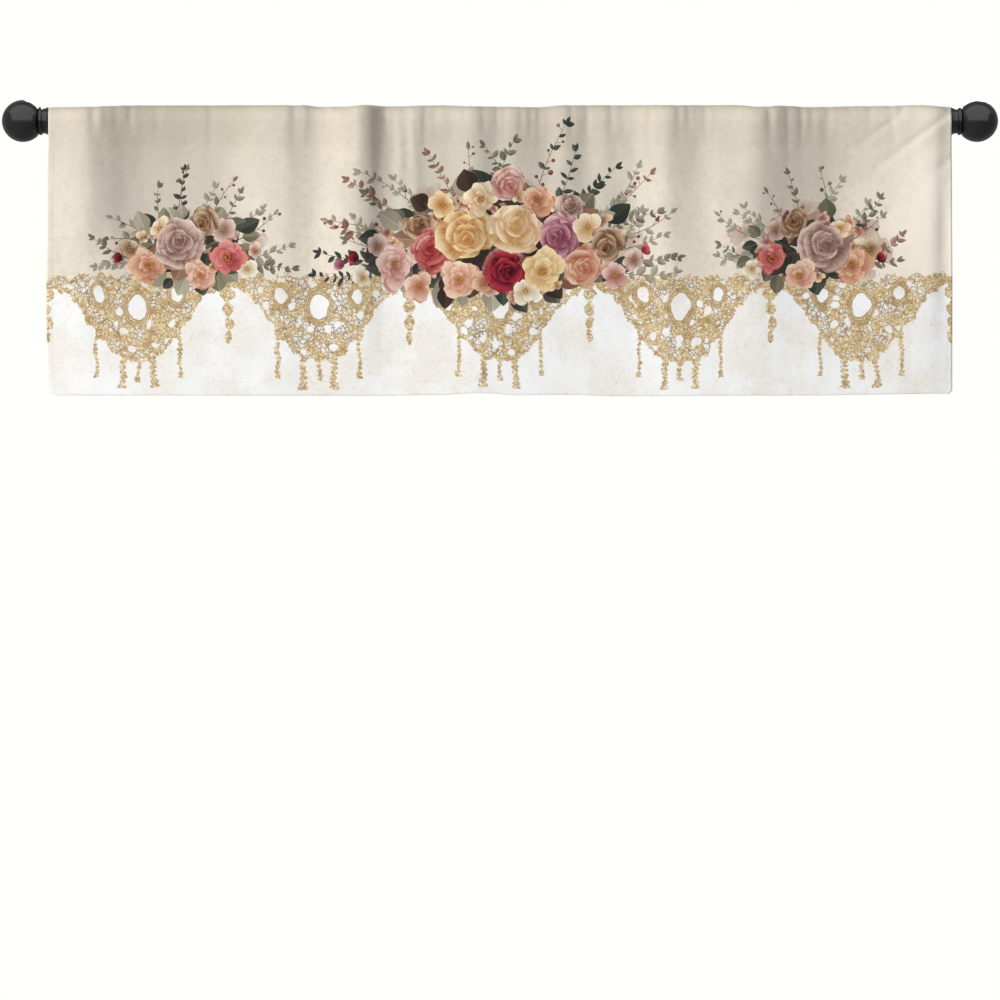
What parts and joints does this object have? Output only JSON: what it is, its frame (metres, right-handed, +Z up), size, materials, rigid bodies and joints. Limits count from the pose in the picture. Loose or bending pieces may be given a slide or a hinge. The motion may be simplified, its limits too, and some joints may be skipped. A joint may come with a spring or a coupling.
{
  "type": "valance curtain on a rod",
  "caption": "Short window valance of printed cloth hanging from a rod pocket on a round black rod, with a turned ball finial at each end.",
  "frame": {"origin": "middle of the rod's axis, halfway between the finials", "axes": "+X along the rod, to the right as seen from the room; +Y from the room towards the wall; +Z up"},
  "size_m": [1.518, 0.0688, 0.4502],
  "materials": {
    "printed_cloth": "matte woven polyester with a printed face, cream above and white below",
    "rod_finish": "black satin enamel on steel tube",
    "finial_finish": "black satin enamel with a soft gloss"
  },
  "bodies": {
    "root": {"valance": "printed_cloth", "curtain_rod": "rod_finish", "finial_left": "finial_finish", "finial_right": "finial_finish"}
  },
  "joints": []
}
